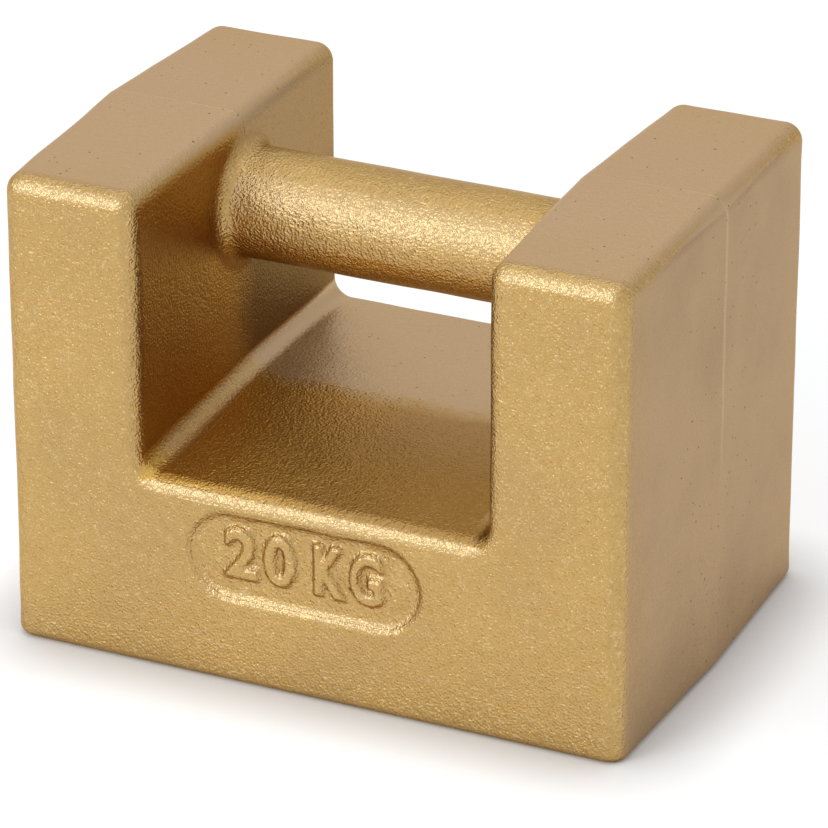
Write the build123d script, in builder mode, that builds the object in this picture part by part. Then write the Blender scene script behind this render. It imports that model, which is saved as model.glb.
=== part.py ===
from build123d import *
import math
import os

# Calibration weight, 20 kg: one iron casting with an open channel across its top and a round grip
# bar between the two uprights. An adjusting cavity in the base holds lengths of lead rod and is
# closed by a brass plug under a lead seal.
#
# Millimetres, +Z up. X runs along the grip, the marked face looks along -Y, and the origin is at
# the middle of the base. The mould parts on the plane y = 0, and every wall leans in from there.

# ---- casting: its outline is given on the parting plane, where it is fullest ----
length = 197.2
height = 148.6
width = 135.4
channel_width = 104.0
channel_floor = 66.7
draft_angle = 1.7
front_floor_drop = 5.9

# ---- rounded edges of the casting ----
edge_radius = 6.0
base_edge_radius = 3.0
channel_corner_radius = 5.0

# ---- grip bar, cast with the uprights ----
grip_diameter = 33.6
grip_drop = 27.7
grip_root_radius = 5.0

# ---- marking recess in the front face ----
recess_length = 72.0
recess_height = 26.0
recess_shift = 2.0
recess_depth = 1.8
recess_center_height = 40.3
recess_lip_radius = 1.2

# ---- adjusting cavity, cored in the base with its mouth in the left side ----
cavity_height = 34.0
cavity_diameter = 28.0
cavity_length = 52.0
cavity_end_chamfer = 5.0
mouth_diameter = 22.0
mouth_depth = 4.0
seal_groove_width = 1.2
seal_groove_depth = 0.8
thread_diameter = 18.0
thread_length = 11.0

# ---- what closes and fills the cavity ----
plug_length = 8.0
plug_chamfer = 0.8
slot_width = 2.0
slot_depth = 2.5
seal_inset = 0.6
fit_clearance = 0.1
rod_diameter = 8.0
rod_length = 12.0
rod_count = 3
rod_gap = 0.1

half_width = width / 2
grip_radius = grip_diameter / 2
grip_height = height - grip_drop
draft_inset = half_width * math.tan(math.radians(draft_angle))
front_floor_angle = math.degrees(math.atan(front_floor_drop / half_width))
outline_bottom = -draft_inset - base_edge_radius
mouth_x = -length / 2
plug_face_x = mouth_x + mouth_depth
groove_start_x = plug_face_x - seal_groove_width
chamber_x = plug_face_x + thread_length
chamber_end_x = chamber_x + cavity_length
cavity_axis = Axis((0, 0, cavity_height), (1, 0, 0))


# ---- weight_casting ----
# Each half is drawn from the parting plane to its face with draft, and rounded. Its outline
# starts below the base, and the cut at z = 0 leaves the base level. The channel's floor leans
# at an angle of its own: it falls further towards the marked face than towards the back.
def cast_half(floor_angle):
    with BuildPart() as half:
        with BuildSketch(Plane.XZ):
            with BuildLine():
                Polyline(
                    (-length / 2, outline_bottom),
                    (length / 2, outline_bottom),
                    (length / 2, height),
                    (channel_width / 2, height),
                    (channel_width / 2, channel_floor),
                    (-channel_width / 2, channel_floor),
                    (-channel_width / 2, height),
                    (-length / 2, height),
                    close=True,
                )
            make_face()
        extrude(amount=half_width)
        floor_face = half.faces().filter_by(Axis.Z).sort_by(Axis.Z)[1]
        draft(half.faces().filter_by(Plane.XZ, reverse=True) - [floor_face], Plane.XZ, draft_angle)
        draft(half.faces().filter_by(Axis.Z), Plane.XZ, floor_angle)
        split(bisect_by=Plane.XY, keep=Keep.TOP)
        floor_zone = half.edges().filter_by_position(Axis.Z, channel_floor / 2, channel_floor)
        fillet(floor_zone.filter_by(Axis.X, reverse=True), channel_corner_radius)

        # Every edge that a hand meets: around the face, and along the tops of the uprights.
        hand_edges = half.faces().sort_by(Axis.Y)[0].edges().sort_by(Axis.Z)[1:]
        for top_face in half.faces().sort_by(Axis.Z)[-2:]:
            hand_edges += top_face.edges().sort_by(Axis.Y)[1:-1]
        fillet(hand_edges, edge_radius)

        # Half of the grip bar, rooted in both uprights.
        with BuildSketch(Plane.YZ):
            with Locations((0, grip_height)):
                Circle(grip_radius)
                Rectangle(grip_radius, grip_diameter, align=(Align.MAX, Align.CENTER), mode=Mode.INTERSECT)
        extrude(amount=channel_width / 2 + edge_radius, both=True)
        grip_zone = half.edges().filter_by_position(
            Axis.Z, grip_height - grip_radius, grip_height + grip_radius
        )
        grip_roots = grip_zone.filter_by(GeomType.LINE, reverse=True).filter_by_position(
            Axis.Y, -1.5 * grip_radius, -0.5 * grip_radius
        )
        fillet(grip_roots, grip_root_radius)
        fillet(half.faces().sort_by(Axis.Z)[0].edges().sort_by(Axis.Y)[:-1], base_edge_radius)
    return half.part


front_half = cast_half(front_floor_angle)
back_half = cast_half(draft_angle)

with BuildPart() as weight_casting:
    add(front_half)

    # The marking recess: a shallow oblong, well rounded at its lip and a little left of the middle.
    with BuildSketch(Plane.XZ.offset(half_width)):
        with Locations((-recess_shift, recess_center_height)):
            SlotOverall(recess_length, recess_height)
    extrude(amount=-recess_depth, mode=Mode.SUBTRACT)
    front_face = weight_casting.faces().sort_by(Axis.Y)[0]
    fillet(front_face.inner_wires()[0].edges(), recess_lip_radius)
    mirror(back_half, about=Plane.XZ)

    # The adjusting cavity: seal mouth, threaded neck and cored chamber, turned about one axis.
    with BuildSketch(Plane.XZ) as cavity_outline:
        with BuildLine():
            Polyline(
                (mouth_x - mouth_depth, cavity_height),
                (mouth_x - mouth_depth, cavity_height + mouth_diameter / 2),
                (groove_start_x, cavity_height + mouth_diameter / 2),
                (groove_start_x, cavity_height + mouth_diameter / 2 + seal_groove_depth),
                (plug_face_x, cavity_height + mouth_diameter / 2 + seal_groove_depth),
                (plug_face_x, cavity_height + thread_diameter / 2),
                (chamber_x, cavity_height + thread_diameter / 2),
                (chamber_x, cavity_height + cavity_diameter / 2),
                (chamber_end_x, cavity_height + cavity_diameter / 2),
                (chamber_end_x, cavity_height),
                close=True,
            )
        make_face()
        chamber_corner = (chamber_end_x, cavity_height + cavity_diameter / 2)
        chamfer(cavity_outline.vertices().sort_by_distance(chamber_corner)[0], cavity_end_chamfer)
    revolve(axis=cavity_axis, mode=Mode.SUBTRACT)


# ---- cavity_plug: threaded brass plug with a screwdriver slot in its outer face ----
with BuildPart() as cavity_plug:
    with BuildSketch(Plane.YZ.offset(plug_face_x)):
        with Locations((0, cavity_height)):
            Circle(thread_diameter / 2 - fit_clearance)
    extrude(amount=plug_length)
    chamfer(cavity_plug.edges().sort_by(Axis.X)[-1], plug_chamfer)
    with BuildSketch(Plane.YZ.offset(plug_face_x)):
        with Locations((0, cavity_height)):
            Rectangle(thread_diameter, slot_width)
    extrude(amount=slot_depth, mode=Mode.SUBTRACT)


# ---- lead_seal: lead disc pressed into the mouth, its groove and the plug's slot ----
with BuildPart() as lead_seal:
    with BuildSketch(Plane.YZ.offset(plug_face_x)):
        with Locations((0, cavity_height)):
            Circle(mouth_diameter / 2 - fit_clearance)
    extrude(amount=-(mouth_depth - seal_inset))
    with BuildSketch(Plane.YZ.offset(plug_face_x)):
        with Locations((0, cavity_height)):
            Circle(mouth_diameter / 2 + seal_groove_depth - fit_clearance)
    extrude(amount=-(seal_groove_width - fit_clearance))
    with BuildSketch(Plane.YZ.offset(plug_face_x)):
        with Locations((0, cavity_height)):
            Rectangle(thread_diameter - 2 * plug_chamfer, slot_width - 2 * fit_clearance)
    extrude(amount=slot_depth - fit_clearance)


# ---- adjusting_lead: cut lengths of lead rod lying in a row along the bottom of the chamber ----
rod_height = cavity_height - cavity_diameter / 2 + rod_diameter / 2 + rod_gap
first_rod_x = chamber_x + rod_gap
with BuildPart() as adjusting_lead:
    for rod_number in range(rod_count):
        rod_x = first_rod_x + rod_number * (rod_length + rod_gap)
        with BuildSketch(Plane.YZ.offset(rod_x)):
            with Locations((0, rod_height)):
                Circle(rod_diameter / 2)
        extrude(amount=rod_length)


pieces = {
    "weight_casting": weight_casting,
    "cavity_plug": cavity_plug,
    "lead_seal": lead_seal,
    "adjusting_lead": adjusting_lead,
}
os.makedirs("parts", exist_ok=True)
for piece_name, piece in pieces.items():
    piece.part.label = piece_name
    export_step(piece.part, f"parts/{piece_name}.step")
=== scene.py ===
import math

import bpy
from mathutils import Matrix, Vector


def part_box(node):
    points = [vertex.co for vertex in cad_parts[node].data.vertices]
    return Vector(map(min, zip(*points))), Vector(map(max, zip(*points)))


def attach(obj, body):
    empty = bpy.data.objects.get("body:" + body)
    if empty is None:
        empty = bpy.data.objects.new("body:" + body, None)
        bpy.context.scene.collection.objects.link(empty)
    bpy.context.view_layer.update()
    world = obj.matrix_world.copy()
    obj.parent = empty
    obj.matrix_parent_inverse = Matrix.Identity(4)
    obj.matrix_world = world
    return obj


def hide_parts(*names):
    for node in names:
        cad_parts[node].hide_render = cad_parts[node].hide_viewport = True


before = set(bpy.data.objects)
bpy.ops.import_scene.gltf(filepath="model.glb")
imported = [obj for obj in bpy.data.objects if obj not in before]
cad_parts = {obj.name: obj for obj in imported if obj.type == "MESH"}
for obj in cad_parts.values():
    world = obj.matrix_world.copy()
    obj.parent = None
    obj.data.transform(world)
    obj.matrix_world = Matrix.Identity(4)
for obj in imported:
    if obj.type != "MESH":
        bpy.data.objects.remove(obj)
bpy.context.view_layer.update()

# Calibration weight: gold painted iron casting, lead seal, brass plug and adjusting lead.
# Metres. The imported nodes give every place; only finish and fine relief are made here.

millimetre = 0.001
mergeReach = 0.005 * millimetre     # corners nearer than this are one
sliceMerge = 0.001 * millimetre     # and this near to a cut they lie on it
flatWithin = math.radians(0.25)     # faces that meet flatter than this are one
smoothWithin = math.radians(35)     # edges sharper than this stay sharp


def deselectAll():
    if bpy.context.object and bpy.context.object.mode != "OBJECT":
        bpy.ops.object.mode_set(mode="OBJECT")
    bpy.ops.object.select_all(action="DESELECT")


def makeActive(thing):
    deselectAll()
    thing.select_set(True)
    bpy.context.view_layer.objects.active = thing


def applyModifier(thing, modifier):
    makeActive(thing)
    bpy.ops.object.modifier_apply(modifier=modifier.name)


def aimAt(thing, target):
    thing.rotation_euler = (Vector(target) - thing.location).to_track_quat("-Z", "Y").to_euler()


# Camera: the whole weight from its right front, a little above.
cameraPlan = {
    "aim": (0.0017, 0.0, 0.0622),
    "azimuth": 24.8,        # degrees to the right of the marked front
    "elevation": 25.39,
    "distance": 1.576,
    "lens": 234.1, "sensorWidth": 36,       # in millimetres, as the camera takes them
    "clipEnd": 50,
}

deselectAll()
turn, rise = math.radians(cameraPlan["azimuth"]), math.radians(cameraPlan["elevation"])
sightLine = Vector((math.sin(turn) * math.cos(rise), -math.cos(turn) * math.cos(rise), math.sin(rise)))
bpy.ops.object.camera_add(location=Vector(cameraPlan["aim"]) + cameraPlan["distance"] * sightLine)
camera = bpy.context.object
camera.name = "productCamera"
aimAt(camera, cameraPlan["aim"])
camera.data.lens = cameraPlan["lens"]
camera.data.sensor_width = cameraPlan["sensorWidth"]
camera.data.clip_end = cameraPlan["clipEnd"]
bpy.context.scene.camera = camera
bpy.context.scene.view_settings.view_transform = "Standard"
print("camera ready")


# Helpers for node trees, be it a material's, a group's or the world's.
def feed(tree, value, socket):
    # a socket takes another node's output or a plain value
    if isinstance(value, bpy.types.NodeSocket):
        tree.links.new(value, socket)
    elif value is not None:
        socket.default_value = value


def addNode(tree, kind, **settings):
    node = tree.nodes.new("ShaderNode" + kind)
    for name, value in settings.items():
        setattr(node, name, value)
    return node


def addMath(tree, operation, first, *others):
    # more than two values go through one node after another
    for other in others or (None,):
        node = addNode(tree, "Math", operation=operation)
        feed(tree, first, node.inputs[0])
        feed(tree, other, node.inputs[1])
        first = node.outputs[0]
    return first


def addRest(tree, share):
    return addMath(tree, "SUBTRACT", 1.0, share)


def addVectorMath(tree, operation, first, second=None):
    node = addNode(tree, "VectorMath", operation=operation)
    feed(tree, first, node.inputs[0])
    feed(tree, second, node.inputs["Scale" if operation == "SCALE" else 1])
    return node.outputs["Value" if operation == "DOT_PRODUCT" else "Vector"]


def addRange(tree, value, fromMin, fromMax, toMin=0.0, toMax=1.0):
    node = addNode(tree, "MapRange", interpolation_type="SMOOTHSTEP")
    tree.links.new(value, node.inputs["Value"])
    limits = {"From Min": fromMin, "From Max": fromMax, "To Min": toMin, "To Max": toMax}
    for name, number in limits.items():
        node.inputs[name].default_value = number
    return node.outputs["Result"]


def addTexture(tree, kind, vector, **values):
    # values by the names of their sockets
    node = addNode(tree, kind)
    tree.links.new(vector, node.inputs["Vector"])
    for name, value in values.items():
        feed(tree, value, node.inputs[name])
    return node.outputs


def addColorMix(tree, share, first, second):
    node = addNode(tree, "Mix", data_type="RGBA")
    tree.links.new(share, node.inputs[0])
    feed(tree, first, node.inputs[6])
    feed(tree, second, node.inputs[7])
    return node.outputs[2]


def addRelief(tree, height, depth):
    bump = addNode(tree, "Bump")
    bump.inputs["Distance"].default_value = depth
    tree.links.new(height, bump.inputs["Height"])
    return bump.outputs["Normal"]


def addSeenMask(tree):
    # 1 for rays that show the surroundings: to the camera, in gloss and through glass
    rays = addNode(tree, "LightPath").outputs
    seen = addMath(tree, "MAXIMUM", rays["Is Camera Ray"], rays["Is Glossy Ray"], rays["Is Transmission Ray"])
    return rays, seen


# Lights: a key softbox at the left front, a softbox above, and a pale room.
lightPlan = {
    "aim": (0, 0, 0.07),
    "keyPlace": (-0.95, -1.65, 1.15), "keySize": 1.15, "keyPower": 13.3,
    "topPlace": (-0.25, 0.10, 1.70), "topSize": 1.2, "topPower": 2.5,
    "roomLight": 0.40,      # what lights dull surfaces
    "wallLight": 0.88,      # what glossy surfaces see
    "darkSide": (0.62, 0.70, 0.35), "darkSideLight": 0.70,      # the unlit end of the room
    "darkWithin": (0.62, 0.95),     # cosines from that side, where its shade starts and is full
}


def addSoftbox(name, place, size, power):
    deselectAll()
    bpy.ops.object.light_add(type="AREA", location=place)
    box = bpy.context.object
    box.name = name
    box.data.shape = "SQUARE"
    box.data.size = size
    box.data.energy = power
    aimAt(box, lightPlan["aim"])


addSoftbox("keySoftbox", lightPlan["keyPlace"], lightPlan["keySize"], lightPlan["keyPower"])
addSoftbox("topSoftbox", lightPlan["topPlace"], lightPlan["topSize"], lightPlan["topPower"])

world = bpy.data.worlds.new("studioRoom")
bpy.context.scene.world = world
world.use_nodes = True
tree = world.node_tree
tree.nodes.clear()
rays, seen = addSeenMask(tree)
darkSide = Vector(lightPlan["darkSide"]).normalized()
towardsDark = addVectorMath(tree, "DOT_PRODUCT", addNode(tree, "TexCoord").outputs["Generated"], darkSide)
wallShade = addRange(tree, towardsDark, *lightPlan["darkWithin"],
                     lightPlan["wallLight"], lightPlan["darkSideLight"])
roomGlow = addNode(tree, "Background")
roomGlow.inputs["Strength"].default_value = lightPlan["roomLight"]
whiteWall = addNode(tree, "Background")
whiteWall.inputs["Color"].default_value = (1, 1, 1, 1)
tree.links.new(addMath(tree, "MAXIMUM", wallShade, rays["Is Camera Ray"]), whiteWall.inputs["Strength"])
roomMix = addNode(tree, "MixShader")
tree.links.new(seen, roomMix.inputs["Fac"])
tree.links.new(roomGlow.outputs[0], roomMix.inputs[1])
tree.links.new(whiteWall.outputs[0], roomMix.inputs[2])
tree.links.new(roomMix.outputs[0], addNode(tree, "OutputWorld").inputs["Surface"])
print("lights ready")


# Floor: pale paper that keeps the shadow, with a painted shadow round the base where its glow dims.
floorPlan = {
    "size": 8.0, "color": (0.86, 0.88, 0.91, 1),
    "lift": 0.62,               # what the paper adds in view, so that it shows white
    "shadeReach": 0.028,        # how far the shade round the base spreads
    "shadePower": 1.9,
}

deselectAll()
bpy.ops.mesh.primitive_plane_add(size=floorPlan["size"], location=(0, 0, 0))
floor = bpy.context.object
floor.name = "studioFloor"
floorPaper = bpy.data.materials.new("palePaper")
floorPaper.use_nodes = True
tree = floorPaper.node_tree
tree.nodes.clear()
rays, seen = addSeenMask(tree)
# painted shadow: ambient occlusion dims the paper's glow near the weight
shelter = addNode(tree, "AmbientOcclusion")
shelter.inputs["Distance"].default_value = floorPlan["shadeReach"]
unshadedGlowShare = addMath(tree, "POWER", shelter.outputs["AO"], floorPlan["shadePower"])
paper = addNode(tree, "BsdfDiffuse")
paper.inputs["Color"].default_value = floorPlan["color"]
paperGlow = addNode(tree, "Emission")
tree.links.new(addMath(tree, "MULTIPLY", unshadedGlowShare, floorPlan["lift"], seen), paperGlow.inputs["Strength"])
paperSum = addNode(tree, "AddShader")
tree.links.new(paper.outputs[0], paperSum.inputs[0])
tree.links.new(paperGlow.outputs[0], paperSum.inputs[1])
tree.links.new(paperSum.outputs[0], addNode(tree, "OutputMaterial").inputs["Surface"])
floor.data.materials.append(floorPaper)
print("floor ready")


# Effects that the finishes share.
effectPlan = {
    "bendsPerMetre": 600.0,         # what makes the grains of the wrinkles crooked
    "grainDetail": 1.0, "grainRoughness": 0.4, "swellDetail": 1.0,
    "cloudDetail": 5.0, "cloudRoughness": 0.6, "cloudWithin": (0.35, 0.68),
    "middleGrey": (0.5, 0.5, 0.5),      # what a pattern's colour is centred on
}


def newGroup(name, inputs, outputs):
    # inputs are (name, kind, value) and outputs (name, kind), the kind being Float, Color or Vector
    group = bpy.data.node_groups.new(name, "ShaderNodeTree")
    for socketName, kind, value in inputs:
        socket = group.interface.new_socket(socketName, in_out="INPUT", socket_type="NodeSocket" + kind)
        if value is not None:
            socket.default_value = value
    for socketName, kind in outputs:
        group.interface.new_socket(socketName, in_out="OUTPUT", socket_type="NodeSocket" + kind)
    return group, group.nodes.new("NodeGroupInput").outputs, group.nodes.new("NodeGroupOutput").inputs


def useGroup(tree, group, vector, values):
    # values by the names of the group's inputs
    node = addNode(tree, "Group", node_tree=group)
    tree.links.new(vector, node.inputs["Vector"])
    for name, value in values.items():
        feed(tree, value, node.inputs[name])
    return node.outputs


# wrinkles that sprayed paint leaves on a sand cast skin: short crooked grains on slow swells
wrinkleGroup, gives, takes = newGroup(
    "sprayWrinkles",
    (("Vector", "Vector", None), ("Grains Per Metre", "Float", 1350.0), ("Crookedness", "Float", 0.0004),
     ("Swells Per Metre", "Float", 420.0), ("Swell Height", "Float", 0.5)),
    (("Height", "Float"),))
tree = wrinkleGroup
bends = addTexture(tree, "TexNoise", gives["Vector"], Scale=effectPlan["bendsPerMetre"], Detail=0.0)
push = addVectorMath(tree, "SUBTRACT", bends["Color"], effectPlan["middleGrey"])
bent = addVectorMath(tree, "ADD", gives["Vector"], addVectorMath(tree, "SCALE", push, gives["Crookedness"]))
grains = addTexture(tree, "TexNoise", bent, Scale=gives["Grains Per Metre"],
                    Detail=effectPlan["grainDetail"], Roughness=effectPlan["grainRoughness"])
swells = addTexture(tree, "TexNoise", gives["Vector"], Scale=gives["Swells Per Metre"],
                    Detail=effectPlan["swellDetail"])
swellPart = addMath(tree, "MULTIPLY", swells["Fac"], gives["Swell Height"])
tree.links.new(addMath(tree, "ADD", grains["Fac"], swellPart), takes["Height"])

# metal flakes in the paint: each cell of the pattern leans its own way
flakeGroup, gives, takes = newGroup(
    "metalFlakes",
    (("Vector", "Vector", None), ("Flakes Per Metre", "Float", 2600.0), ("Lean", "Float", 0.16),
     ("Normal", "Vector", None)),
    (("Normal", "Vector"),))
tree = flakeGroup
cells = addTexture(tree, "TexVoronoi", gives["Vector"], Scale=gives["Flakes Per Metre"])
ownWay = addVectorMath(tree, "SUBTRACT", cells["Color"], effectPlan["middleGrey"])
tipped = addVectorMath(tree, "ADD", addVectorMath(tree, "SCALE", ownWay, gives["Lean"]), gives["Normal"])
tree.links.new(addVectorMath(tree, "NORMALIZE", tipped), takes["Normal"])

# tone of the paint: thick and thin coats, in large clouds and small ones
toneGroup, gives, takes = newGroup(
    "coatTone",
    (("Vector", "Vector", None), ("Thick Coat", "Color", (0.5, 0.33, 0.125, 1)),
     ("Thin Coat", "Color", (0.45, 0.3, 0.12, 1)), ("Clouds Per Metre", "Float", 26.0)),
    (("Color", "Color"), ("Amount", "Float")))
tree = toneGroup
clouds = addTexture(tree, "TexNoise", gives["Vector"], Scale=gives["Clouds Per Metre"],
                    Detail=effectPlan["cloudDetail"], Roughness=effectPlan["cloudRoughness"])
amount = addRange(tree, clouds["Fac"], *effectPlan["cloudWithin"])
tree.links.new(addColorMix(tree, amount, gives["Thick Coat"], gives["Thin Coat"]), takes["Color"])
tree.links.new(amount, takes["Amount"])

# pinholes of a sand cast skin, each in its own cell, and only in some of the cells
pitGroup, gives, takes = newGroup(
    "pinholes",
    (("Vector", "Vector", None), ("Cells Per Metre", "Float", 420.0), ("Share", "Float", 0.35),
     ("Width", "Float", 0.17)),
    (("Amount", "Float"),))
tree = pitGroup
cells = addTexture(tree, "TexVoronoi", gives["Vector"], Scale=gives["Cells Per Metre"])
lots = addNode(tree, "SeparateColor")
tree.links.new(cells["Color"], lots.inputs[0])
chosen = addMath(tree, "LESS_THAN", lots.outputs[0], gives["Share"])
reach = addMath(tree, "MULTIPLY", lots.outputs[1], gives["Width"])
inside = addMath(tree, "LESS_THAN", cells["Distance"], reach)
tree.links.new(addMath(tree, "MULTIPLY", chosen, inside), takes["Amount"])
print("shared effects ready")


# Gold paint, sprayed on the cast skin. Shares go from 0 to 1. A pair of places says where an
# effect starts and where it is full.
goldPlan = {
    "thickCoat": (0.565, 0.368, 0.128, 1),
    "thinCoat": (0.525, 0.340, 0.124, 1),
    # crests of the wrinkles paler, partly rubbed paint and partly painted glints; hollows darker as painted
    # shade
    "crestGlintColor": (0.74, 0.55, 0.28, 1), "crestFrom": (0.80, 1.05), "crestShare": 0.6,
    "hollowShadeColor": (0.46, 0.28, 0.085, 1), "hollowFrom": (0.70, 0.45), "hollowShare": 0.6,
    "grazingTint": (0.80, 0.62, 0.40, 1),
    "roughness": 0.36, "dustyRoughness": 0.46,
    "coat": 0.30, "coatRoughness": 0.22,
    "flakeLean": 0.12,
    "wrinkleDepth": 0.42 * millimetre,
    "dustyWrinkles": 0.30,          # share of the wrinkles left under the overspray
    "shelteredWrinkles": 0.65,      # and in the front of the channel

    # painted highlight: paler on surfaces that face the key light's highlight direction
    "paintedHighlightCoat": (0.64, 0.475, 0.25, 1),
    "highlightFacing": (0.0, -0.85, 0.53), "highlightWithin": (0.90, 0.985), "highlightShare": 0.6,

    # the channel, round the grip and over the line of its floor, which falls both ways from the crease
    "gripHeight": 120.9 * millimetre, "gripWithin": (17.6 * millimetre, 21.0 * millimetre),
    "channelWithin": (53.6 * millimetre, 55.4 * millimetre),
    "channelFrom": (-2.2 * millimetre, -1.0 * millimetre),
    "crease": 66.7 * millimetre, "frontFall": -0.0872, "backFall": 0.0297,

    # painted shade in the front of the channel, with its floor's own pairs of left and right
    "channelShadeCoat": (0.43, 0.238, 0.075, 1),
    "creaseShadeCoat": ((0.65, 0.37, 0.095, 1), (0.42, 0.250, 0.112, 1)),
    "lipShadeCoat": ((0.66, 0.415, 0.108, 1), (0.43, 0.262, 0.088, 1)),
    "rightFrom": (-50.0 * millimetre, 15.0 * millimetre),
    "lipUpFrom": (-52.0 * millimetre, -14.0 * millimetre),

    # rough and dark on the channel's walls, behind the grip: a painted shadow below the grip, paler above it
    "wallBackFrom": (-13.0 * millimetre, 8.0 * millimetre), "wallBackShare": 0.9,
    "wallShadowCoat": (0.145, 0.092, 0.056, 1), "wallHighCoat": (0.40, 0.28, 0.165, 1),
    "wallHighFrom": (97.0 * millimetre, 118.0 * millimetre),

    # a rougher finish on the tops, the outer sides, the back of the channel's floor and its corners, coloured
    # as painted light: lighter tops, outer sides darker as painted shade, and a pale painted reflection at
    # the channel's back and corners
    "backReflectionCoat": (0.595, 0.435, 0.295, 1),
    "litTopCoat": (0.595, 0.418, 0.250, 1), "topFull": 0.3,
    "topFrom": (143.5 * millimetre, 147.6 * millimetre),
    "topFront": (-65.0 * millimetre, -60.5 * millimetre),       # the tops' front edges stay gold
    "shadedSideCoat": (0.485, 0.338, 0.200, 1), "shadedScuffedSide": (0.435, 0.302, 0.178, 1), "sideFull": 0.15,
    "sideFrom": (95.4 * millimetre, 97.0 * millimetre),
    "backFrom": (-7.0 * millimetre, 4.0 * millimetre), "backShare": 0.8,
    "backDrift": 9.0 * millimetre, "driftsPerMetre": 90.0,      # how ragged its front edge is
    "cornerReflectionCoat": (0.60, 0.43, 0.225, 1), "cornerShare": 0.55,
    "cornerFrom": (47.0 * millimetre, 48.4 * millimetre),
    "cornerUpTo": (5.4 * millimetre, 3.8 * millimetre),
    "cornerBehind": (-62.0 * millimetre, -48.0 * millimetre),

    # the line where the mould parted: a low ridge, and a bare streak on the outer sides
    "seamHeight": 0.35, "seamHalfWidth": 0.45 * millimetre,
    "seamColor": (0.66, 0.50, 0.33, 1), "seamStreak": 1.5 * millimetre, "seamShare": 0.5,
    "seamUpFrom": (50.0 * millimetre, 90.0 * millimetre),

    # painted shade round the letters of the front face, from ambient occlusion, and pinholes
    "creviceShadeColor": (0.27, 0.150, 0.045, 1), "creviceShare": 0.75,
    "creviceReach": 3.0 * millimetre, "creviceFrom": (0.92, 0.45), "creviceSamples": 8,
    "frontFrom": (-62.0 * millimetre, -65.5 * millimetre),
    "pinholeColor": (0.17, 0.11, 0.055, 1),
}


def newMaterial(name):
    material = bpy.data.materials.new(name)
    material.use_nodes = True
    tree = material.node_tree
    place = addNode(tree, "TexCoord").outputs["Object"]
    return material, tree, tree.nodes["Principled BSDF"].inputs, place


goldPaint, tree, shader, place = newMaterial("goldPaint")
axes = addNode(tree, "SeparateXYZ")
tree.links.new(place, axes.inputs[0])
alongX, alongY, alongZ = axes.outputs
awayX = addMath(tree, "ABSOLUTE", alongX)
awayY = addMath(tree, "ABSOLUTE", alongY)
onTop = addMath(tree, "MULTIPLY", addRange(tree, alongZ, *goldPlan["topFrom"]),
                addRange(tree, alongY, *goldPlan["topFront"]))
onSide = addRange(tree, awayX, *goldPlan["sideFrom"])
onFront = addRange(tree, alongY, *goldPlan["frontFrom"])

# the channel without its grip
gripUp = addMath(tree, "SUBTRACT", alongZ, goldPlan["gripHeight"])
gripAway = addMath(tree, "SQRT", addMath(
    tree, "ADD", addMath(tree, "MULTIPLY", gripUp, gripUp), addMath(tree, "MULTIPLY", alongY, alongY)))
offGrip = addRange(tree, gripAway, *goldPlan["gripWithin"])
between = addRange(tree, awayX, *goldPlan["channelWithin"], 1.0, 0.0)
fall = addMath(tree, "MAXIMUM", addMath(tree, "MULTIPLY", alongY, goldPlan["frontFall"]),
               addMath(tree, "MULTIPLY", alongY, goldPlan["backFall"]))
overFloor = addMath(tree, "SUBTRACT", addMath(tree, "ADD", alongZ, fall), goldPlan["crease"])
aboveFloor = addRange(tree, overFloor, *goldPlan["channelFrom"])
inChannel = addMath(tree, "MULTIPLY", between, aboveFloor, offGrip)

# its back, behind a ragged line, and its corners take a pale painted reflection, and its front a painted
# shade
drift = addTexture(tree, "TexNoise", place, Scale=goldPlan["driftsPerMetre"])
driftBy = addMath(tree, "MULTIPLY", addMath(tree, "SUBTRACT", drift["Fac"], 0.5), goldPlan["backDrift"])
drifted = addMath(tree, "ADD", alongY, driftBy)
atBack = addRange(tree, drifted, *goldPlan["backFrom"], 0.0, goldPlan["backShare"])
nearFloor = addRange(tree, overFloor, *goldPlan["cornerUpTo"])
inCorner = addMath(tree, "MULTIPLY", nearFloor,
                   addRange(tree, awayX, *goldPlan["cornerFrom"], 0.0, goldPlan["cornerShare"]),
                   addRange(tree, alongY, *goldPlan["cornerBehind"]))
paintedReflection = addMath(tree, "MAXIMUM", inCorner, addMath(tree, "MULTIPLY", atBack, nearFloor))
channelBackReflection = addMath(tree, "MULTIPLY", inChannel, paintedReflection)
channelFront = addMath(tree, "SUBTRACT", inChannel, channelBackReflection)
cornerOnly = addMath(tree, "MULTIPLY", inChannel, nearFloor, addRest(tree, atBack))
onWallBack = addMath(tree, "MULTIPLY", inChannel, addRest(tree, nearFloor),
                     addRange(tree, drifted, *goldPlan["wallBackFrom"], 0.0, goldPlan["wallBackShare"]))
dustyAndPaintedLight = addMath(tree, "MAXIMUM", onTop, onSide, channelBackReflection)
paintedChannelShade = addMath(tree, "MULTIPLY", channelFront, addRest(tree, onTop))

tone = useGroup(tree, toneGroup, place, {
    "Thick Coat": goldPlan["thickCoat"], "Thin Coat": goldPlan["thinCoat"]})
pits = useGroup(tree, pitGroup, place, {})
wrinkles = useGroup(tree, wrinkleGroup, place, {})
# painted glints on the wrinkles' crests and painted shade in their hollows
crestGlint = addRange(tree, wrinkles["Height"], *goldPlan["crestFrom"], 0.0, goldPlan["crestShare"])
hollowShade = addRange(tree, wrinkles["Height"], *goldPlan["hollowFrom"], 0.0, goldPlan["hollowShare"])
paint = addColorMix(tree, crestGlint, tone["Color"], goldPlan["crestGlintColor"])
paint = addColorMix(tree, hollowShade, paint, goldPlan["hollowShadeColor"])
normal = addNode(tree, "NewGeometry").outputs["Normal"]
# painted highlight on the surfaces that face that direction
towardsHighlight = addVectorMath(tree, "DOT_PRODUCT", normal, goldPlan["highlightFacing"])
paintedHighlight = addRange(tree, towardsHighlight, *goldPlan["highlightWithin"], 0.0, goldPlan["highlightShare"])
paint = addColorMix(tree, paintedHighlight, paint, goldPlan["paintedHighlightCoat"])

# painted shade on the channel's floor, with its own colours from left to right and from lip to crease
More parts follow.
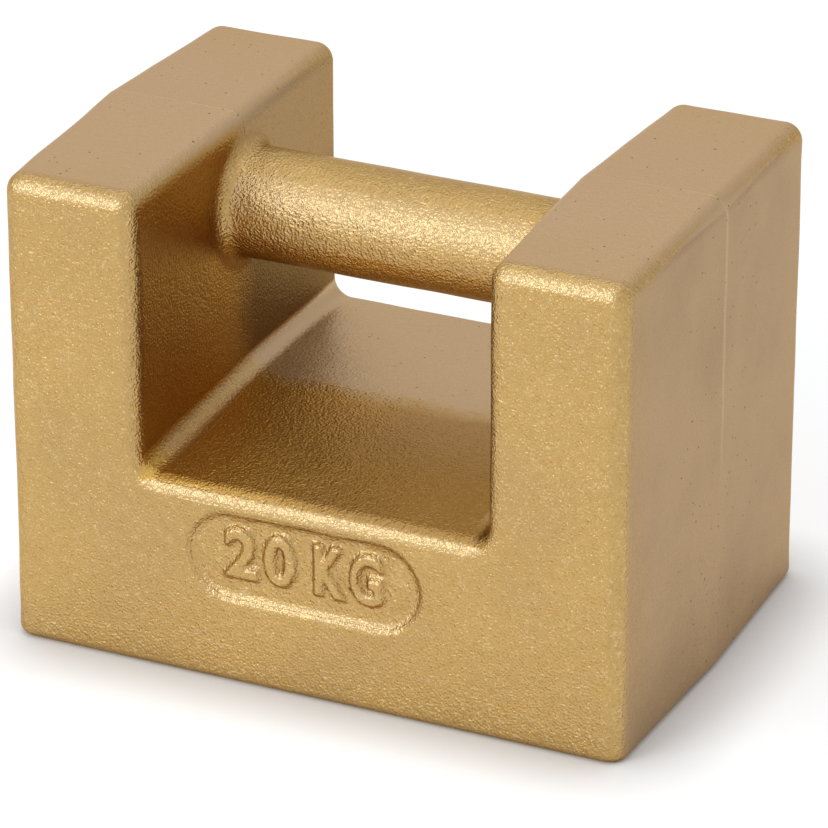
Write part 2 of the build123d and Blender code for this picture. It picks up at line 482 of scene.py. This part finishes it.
toRight = addRange(tree, alongX, *goldPlan["rightFrom"])
floorShadePaint = addColorMix(tree, addRange(tree, alongY, *goldPlan["lipUpFrom"]),
                         addColorMix(tree, toRight, *goldPlan["lipShadeCoat"]),
                         addColorMix(tree, toRight, *goldPlan["creaseShadeCoat"]))
channelShadePaint = addColorMix(tree, nearFloor, goldPlan["channelShadeCoat"], floorShadePaint)
paint = addColorMix(tree, paintedChannelShade, paint, channelShadePaint)
# painted shadow on the walls behind the grip, below its height
wallShadowPaint = addColorMix(tree, addRange(tree, alongZ, *goldPlan["wallHighFrom"]),
                        goldPlan["wallShadowCoat"], goldPlan["wallHighCoat"])
paint = addColorMix(tree, onWallBack, paint, wallShadowPaint)

# painted light on the rougher parts: lighter tops, darker outer sides as painted shade, pale painted
# reflection at the channel's back and corners
shadedSidePaint = addColorMix(tree, tone["Amount"], goldPlan["shadedSideCoat"], goldPlan["shadedScuffedSide"])
sideShare = addRange(tree, onSide, 0.0, goldPlan["sideFull"])
topShare = addRange(tree, onTop, 0.0, goldPlan["topFull"])
litAndShadedPaint = addColorMix(tree, sideShare, goldPlan["backReflectionCoat"], shadedSidePaint)
litAndShadedPaint = addColorMix(tree, topShare, litAndShadedPaint, goldPlan["litTopCoat"])
litAndShadedPaint = addColorMix(tree, cornerOnly, litAndShadedPaint, goldPlan["cornerReflectionCoat"])
paint = addColorMix(tree, dustyAndPaintedLight, paint, litAndShadedPaint)

streak = addMath(tree, "MULTIPLY",
                 addRange(tree, awayY, goldPlan["seamStreak"], 0.0, 0.0, goldPlan["seamShare"]),
                 addRange(tree, alongZ, *goldPlan["seamUpFrom"]), onSide)
paint = addColorMix(tree, streak, paint, goldPlan["seamColor"])
# painted shade: ambient occlusion darkens the paint in the crevices of the front face
crevice = addNode(tree, "AmbientOcclusion", only_local=True, samples=goldPlan["creviceSamples"])
crevice.inputs["Distance"].default_value = goldPlan["creviceReach"]
paintedCreviceShade = addRange(tree, crevice.outputs["AO"], *goldPlan["creviceFrom"], 0.0, goldPlan["creviceShare"])
paint = addColorMix(tree, addMath(tree, "MULTIPLY", paintedCreviceShade, onFront), paint, goldPlan["creviceShadeColor"])
openPits = addMath(tree, "MULTIPLY", pits["Amount"], addMath(tree, "MAXIMUM", dustyAndPaintedLight, onWallBack))
paint = addColorMix(tree, openPits, paint, goldPlan["pinholeColor"])

roughness = addRange(tree, dustyAndPaintedLight, 0.0, 1.0, goldPlan["roughness"], goldPlan["dustyRoughness"])
tree.links.new(paint, shader["Base Color"])
tree.links.new(roughness, shader["Roughness"])
tree.links.new(addRange(tree, paintedChannelShade, 0.0, 1.0, goldPlan["coat"], 0.0), shader["Coat Weight"])
shader["Metallic"].default_value = 1.0
shader["Coat Roughness"].default_value = goldPlan["coatRoughness"]
shader["Specular Tint"].default_value = goldPlan["grazingTint"]

wrinkleShare = addMath(tree, "MULTIPLY", addRange(tree, dustyAndPaintedLight, 0.0, 1.0, 1.0, goldPlan["dustyWrinkles"]),
                       addRange(tree, paintedChannelShade, 0.0, 1.0, 1.0, goldPlan["shelteredWrinkles"]))
seam = addRange(tree, awayY, 0.0, goldPlan["seamHalfWidth"], goldPlan["seamHeight"], 0.0)
height = addMath(tree, "ADD", addMath(tree, "MULTIPLY", wrinkles["Height"], wrinkleShare),
                 addMath(tree, "MULTIPLY", offGrip, tone["Amount"], seam))
relief = addRelief(tree, height, goldPlan["wrinkleDepth"])
flakes = useGroup(tree, flakeGroup, place, {"Lean": goldPlan["flakeLean"], "Normal": relief})
tree.links.new(flakes["Normal"], shader["Normal"])
print("gold paint ready")


# The casting: a finer copy of the node, with its marking and the waves of sand casting.
castingPlan = {
    "gridStep": 3.0 * millimetre,       # patches that the waves move
    "waveDepth": 0.55 * millimetre,     # how far the sand cast skin dips
    "waveLength": 26 * millimetre, "waveDetail": 1,
    "baseRim": (2 * millimetre, 12 * millimetre),       # waves start above the base
    "mouthHeight": 34 * millimetre, "mouthDepth": 4 * millimetre,
    "mouthRim": (13 * millimetre, 21 * millimetre),     # and clear of the lead seal
    "cavityReach": 70 * millimetre, "cavityRadius": 16 * millimetre,        # no waves in that cavity
    "outerSkin": 0.2 * millimetre,      # how deep the left side itself goes
}
markingPlan = {
    # glyph, middle and width, in millimetres
    "glyphs": (("2", -21.9, 11.0), ("0", -9.7, 10.5), ("K", 5.9, 10.2), ("G", 17.6, 10.8)),
    "foot": 33.6, "height": 16.6,
    "capitalShare": 0.729,              # height of the font's capitals in its size
    "curveSteps": 8,
    "boldness": 0.38 * millimetre,      # added to a stroke before it is rounded
    "rounding": 1.40 * millimetre,
    "relief": 1.8 * millimetre,
    "fineStep": 0.45 * millimetre,
    "recessDepth": 1.8 * millimetre,
    "slack": 0.3 * millimetre,          # how far off its floor still counts as the recess
    "middle": (-2.0 * millimetre, 40.3 * millimetre),       # of the recess
    "straight": 23.0 * millimetre, "round": 13.0 * millimetre,      # half its straight part, and its radius
    "lipFrom": 2.0 * millimetre, "lipTo": -1.7 * millimetre,    # where its wall runs, about its outline
    "reach": (38.6 * millimetre, 15.4 * millimetre),        # half of what is sliced finely
    "softening": 3, "softenBy": 0.5,    # passes that round the letters, and how much each does
}


def copyNode(nodeName, copyName):
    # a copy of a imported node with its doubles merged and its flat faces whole, left in edit mode
    makeActive(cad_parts[nodeName])
    bpy.ops.object.duplicate()
    copy = bpy.context.object
    copy.name = copyName
    bpy.ops.mesh.customdata_custom_splitnormals_clear()
    bpy.ops.object.mode_set(mode="EDIT")
    bpy.ops.mesh.select_mode(type="FACE")
    bpy.ops.mesh.select_all(action="SELECT")
    bpy.ops.mesh.remove_doubles(threshold=mergeReach)
    bpy.ops.mesh.dissolve_limited(angle_limit=flatWithin)
    return copy


def sliceShown(axis, start, end, step):
    # cuts every face that isn't hidden into strips across one axis
    direction = [float(number == axis) for number in range(3)]
    count = max(1, round((end - start) / step))
    for number in range(1, count):
        place = start + (end - start) * number / count
        bpy.ops.mesh.select_all(action="SELECT")
        bpy.ops.mesh.bisect(plane_co=[place * part for part in direction], plane_no=direction,
                            threshold=sliceMerge)


def fade(value, start, end):
    share = min(1.0, max(0.0, (value - start) / (end - start)))
    return share * share * (3 - 2 * share)


def pushBy(thing, name, direction, depth, groupName):
    # moves the points of a vertex group, each by its own share of the depth
    push = thing.modifiers.new(name, "DISPLACE")
    push.direction = direction
    push.mid_level = 0.0
    push.strength = depth
    push.vertex_group = groupName
    return push


def paintOver(thing, material):
    # its only material, no vertex groups left, and smooth up to its sharp edges
    for group in list(thing.vertex_groups):
        thing.vertex_groups.remove(group)
    thing.data.materials.clear()
    thing.data.materials.append(material)
    makeActive(thing)
    bpy.ops.object.shade_smooth_by_angle(angle=smoothWithin)


castingLow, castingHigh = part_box("weight_casting")
casting = copyNode("weight_casting", "paintedCasting")
for axis in range(3):
    sliceShown(axis, castingLow[axis], castingHigh[axis], castingPlan["gridStep"])
bpy.ops.object.mode_set(mode="OBJECT")
print("casting sliced:", len(casting.data.polygons), "faces")

# the marking: flat letters lie on the recess floor, and the floor rises towards them
recessY = castingLow[1] + markingPlan["recessDepth"]
tall = markingPlan["height"] * millimetre - markingPlan["rounding"]
middleZ = (markingPlan["foot"] + markingPlan["height"] / 2) * millimetre
letters = []
for glyph, middleX, width in markingPlan["glyphs"]:
    deselectAll()
    bpy.ops.object.text_add(location=(0, 0, 0))
    letter = bpy.context.object
    letter.data.body = glyph
    letter.data.size = markingPlan["height"] * millimetre / markingPlan["capitalShare"]
    letter.data.offset = markingPlan["boldness"]
    letter.data.resolution_u = markingPlan["curveSteps"]
    bpy.ops.object.convert(target="MESH")
    letter = bpy.context.object
    corners = [vertex.co.copy() for vertex in letter.data.vertices]
    left, right = min(c.x for c in corners), max(c.x for c in corners)
    foot, top = min(c.y for c in corners), max(c.y for c in corners)
    wide = width * millimetre - markingPlan["rounding"]
    for vertex in letter.data.vertices:
        acrossShare = (vertex.co.x - (left + right) / 2) / (right - left)
        upShare = (vertex.co.y - (foot + top) / 2) / (top - foot)
        vertex.co = (middleX * millimetre + acrossShare * wide, recessY, middleZ + upShare * tall)
    letters.append(letter)
deselectAll()
for letter in letters:
    letter.select_set(True)
bpy.context.view_layer.objects.active = letters[0]
bpy.ops.object.join()
marking = bpy.context.object
marking.name = "markingPattern"
fieldLow = [middle - reach for middle, reach in zip(markingPlan["middle"], markingPlan["reach"])]
fieldHigh = [middle + reach for middle, reach in zip(markingPlan["middle"], markingPlan["reach"])]


def inField(point):
    return (point.y < recessY + markingPlan["slack"]
            and fieldLow[0] < point.x < fieldHigh[0] and fieldLow[1] < point.z < fieldHigh[1])


def selectField():
    # the recess and what is round it, in edit mode
    makeActive(casting)
    for face in casting.data.polygons:
        face.select = inField(face.center)
    bpy.ops.object.mode_set(mode="EDIT")


for axis, start, end in ((0, fieldLow[0], fieldHigh[0]), (2, fieldLow[1], fieldHigh[1])):
    selectField()
    bpy.ops.mesh.hide(unselected=True)
    sliceShown(axis, start, end, markingPlan["fineStep"])
    bpy.ops.mesh.reveal(select=False)
    bpy.ops.object.mode_set(mode="OBJECT")

# the recess is pressed flat and let down again with a soft wall all round
selectField()
bpy.ops.transform.resize(value=(1, 0, 1), center_override=(0, castingLow[1], 0))
bpy.ops.mesh.remove_doubles(threshold=mergeReach)
bpy.ops.object.mode_set(mode="OBJECT")
letDown = casting.vertex_groups.new(name="recess")
for vertex in casting.data.vertices:
    if inField(vertex.co):
        across = max(0.0, abs(vertex.co.x - markingPlan["middle"][0]) - markingPlan["straight"])
        outside = math.hypot(across, vertex.co.z - markingPlan["middle"][1]) - markingPlan["round"]
        letDown.add([vertex.index], fade(outside, markingPlan["lipFrom"], markingPlan["lipTo"]), "REPLACE")
applyModifier(casting, pushBy(casting, "pressRecess", "Y", markingPlan["recessDepth"], "recess"))

field = casting.vertex_groups.new(name="markingField")
recessFloor = [vertex.index for vertex in casting.data.vertices
               if inField(vertex.co) and vertex.co.y > recessY - markingPlan["slack"]]
field.add(recessFloor, 1.0, "REPLACE")
nearLetters = casting.modifiers.new("nearLetters", "VERTEX_WEIGHT_PROXIMITY")
nearLetters.vertex_group = "markingField"
nearLetters.target = marking
nearLetters.proximity_mode = "GEOMETRY"
nearLetters.proximity_geometry = {"FACE"}
nearLetters.min_dist = markingPlan["rounding"]
nearLetters.max_dist = 0.0
nearLetters.falloff_type = "SMOOTH"
applyModifier(casting, nearLetters)
applyModifier(casting, pushBy(casting, "raiseLetters", "Y", -markingPlan["relief"], "markingField"))
bpy.data.objects.remove(marking)
selectField()
bpy.ops.mesh.vertices_smooth(factor=markingPlan["softenBy"], repeat=markingPlan["softening"],
                             xaxis=False, yaxis=True, zaxis=False)
bpy.ops.object.mode_set(mode="OBJECT")
print("marking raised:", len(casting.data.polygons), "faces")

# slow waves of a sand cast skin, only ever inwards
skin = casting.vertex_groups.new(name="castSkin")
for vertex in casting.data.vertices:
    x, y, z = vertex.co
    depth, up = x - castingLow[0], z - castingPlan["mouthHeight"]
    share = fade(z, *castingPlan["baseRim"])
    inReach = castingPlan["outerSkin"] < depth < castingPlan["cavityReach"]
    if inReach and max(abs(y), abs(up)) < castingPlan["cavityRadius"]:
        share = 0.0
    if depth < castingPlan["mouthDepth"]:
        share *= fade(math.hypot(y, up), *castingPlan["mouthRim"])
    skin.add([vertex.index], share, "REPLACE")
swell = bpy.data.textures.new("castWaves", "CLOUDS")
swell.noise_scale = castingPlan["waveLength"]
swell.noise_depth = castingPlan["waveDetail"]
waves = casting.modifiers.new("castWaves", "DISPLACE")
waves.texture = swell
waves.texture_coords = "LOCAL"
waves.mid_level = 1.0
waves.strength = castingPlan["waveDepth"]
waves.vertex_group = "castSkin"
applyModifier(casting, waves)

paintOver(casting, goldPaint)
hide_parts("weight_casting")
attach(casting, "root")
print("casting ready:", sum(len(face.vertices) - 2 for face in casting.data.polygons), "triangles")


# The lead seal: pressed into its mouth by hand, so its face is dented and carries a punch ring.
sealPlan = {
    "fineStep": 0.45 * millimetre,
    "faceDepth": 0.05 * millimetre,     # how deep its outer face goes
    "dentDepth": 0.35 * millimetre, "dentLength": 5 * millimetre,
    "ringRadius": 6.2 * millimetre, "ringHalfWidth": 0.9 * millimetre, "ringDepth": 0.45 * millimetre,
    "tarnish": (0.17, 0.17, 0.178, 1), "bare": (0.34, 0.34, 0.35, 1), "cloudsPerMetre": 220.0,
    "roughness": (0.42, 0.68), "scratchDepth": 0.20 * millimetre, "scratchesPerMetre": 800.0,
}
rodPlan = {
    "tarnish": (0.15, 0.15, 0.16, 1), "bare": (0.27, 0.27, 0.28, 1), "cloudsPerMetre": 220.0,
    "roughness": (0.5, 0.75), "scratchDepth": 0.15 * millimetre, "scratchesPerMetre": 800.0,
}


def makeLead(name, plan):
    # soft lead: bare where it was pressed last, tarnished elsewhere
    material, tree, shader, place = newMaterial(name)
    tone = useGroup(tree, toneGroup, place, {
        "Clouds Per Metre": plan["cloudsPerMetre"], "Thick Coat": plan["tarnish"], "Thin Coat": plan["bare"]})
    tree.links.new(tone["Color"], shader["Base Color"])
    tree.links.new(addRange(tree, tone["Amount"], 1.0, 0.0, *plan["roughness"]), shader["Roughness"])
    shader["Metallic"].default_value = 1.0
    scratches = useGroup(tree, wrinkleGroup, place, {"Grains Per Metre": plan["scratchesPerMetre"]})
    tree.links.new(addRelief(tree, scratches["Height"], plan["scratchDepth"]), shader["Normal"])
    return material


sealLow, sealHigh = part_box("lead_seal")
sealY, sealZ = (sealLow[1] + sealHigh[1]) / 2, (sealLow[2] + sealHigh[2]) / 2
seal = copyNode("lead_seal", "pressedSeal")
for axis in (1, 2):
    sliceShown(axis, sealLow[axis], sealHigh[axis], sealPlan["fineStep"])
bpy.ops.object.mode_set(mode="OBJECT")
pressed = seal.vertex_groups.new(name="pressedFace")
ring = seal.vertex_groups.new(name="punchRing")
for vertex in seal.data.vertices:
    if vertex.co.x < sealLow[0] + sealPlan["faceDepth"]:
        offRing = abs(math.hypot(vertex.co.y - sealY, vertex.co.z - sealZ) - sealPlan["ringRadius"])
        pressed.add([vertex.index], 1.0, "REPLACE")
        ring.add([vertex.index], 1 - fade(offRing, 0, sealPlan["ringHalfWidth"]), "REPLACE")
dents = pushBy(seal, "pressedFace", "X", sealPlan["dentDepth"], "pressedFace")
dents.texture = bpy.data.textures.new("sealDents", "CLOUDS")
dents.texture.noise_scale = sealPlan["dentLength"]
dents.texture_coords = "LOCAL"
applyModifier(seal, dents)
applyModifier(seal, pushBy(seal, "punchRing", "X", sealPlan["ringDepth"], "punchRing"))

paintOver(seal, makeLead("pressedLead", sealPlan))
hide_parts("lead_seal")
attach(seal, "root")
print("seal ready:", len(seal.data.polygons), "faces")


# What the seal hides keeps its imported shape: cut lead rods, and a brass plug turned about its own axis.
plugPlan = {
    "tarnish": (0.42, 0.28, 0.10, 1), "bare": (0.72, 0.53, 0.24, 1), "cloudsPerMetre": 160.0,
    "roughness": (0.28, 0.5),
    "ringScale": 130.0, "ringWobble": 0.4, "ringDepth": 0.04 * millimetre,      # about 400 rings to a metre
}

rodLead = makeLead("rodLead", rodPlan)
turnedBrass, tree, shader, place = newMaterial("turnedBrass")
tone = useGroup(tree, toneGroup, place, {
    "Clouds Per Metre": plugPlan["cloudsPerMetre"],
    "Thick Coat": plugPlan["bare"], "Thin Coat": plugPlan["tarnish"]})
tree.links.new(tone["Color"], shader["Base Color"])
tree.links.new(addRange(tree, tone["Amount"], 0.0, 1.0, *plugPlan["roughness"]), shader["Roughness"])
shader["Metallic"].default_value = 1.0
onAxis = addNode(tree, "Mapping", vector_type="POINT")
onAxis.inputs["Location"].default_value = (0, -sealY, -sealZ)
tree.links.new(place, onAxis.inputs["Vector"])
toolMarks = addNode(tree, "TexWave", wave_type="RINGS", rings_direction="X")
toolMarks.inputs["Scale"].default_value = plugPlan["ringScale"]
toolMarks.inputs["Distortion"].default_value = plugPlan["ringWobble"]
tree.links.new(onAxis.outputs[0], toolMarks.inputs["Vector"])
tree.links.new(addRelief(tree, toolMarks.outputs["Fac"], plugPlan["ringDepth"]), shader["Normal"])
for nodeName, material in (("cavity_plug", turnedBrass), ("adjusting_lead", rodLead)):
    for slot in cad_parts[nodeName].material_slots:
        slot.material = material
print("hidden parts ready")
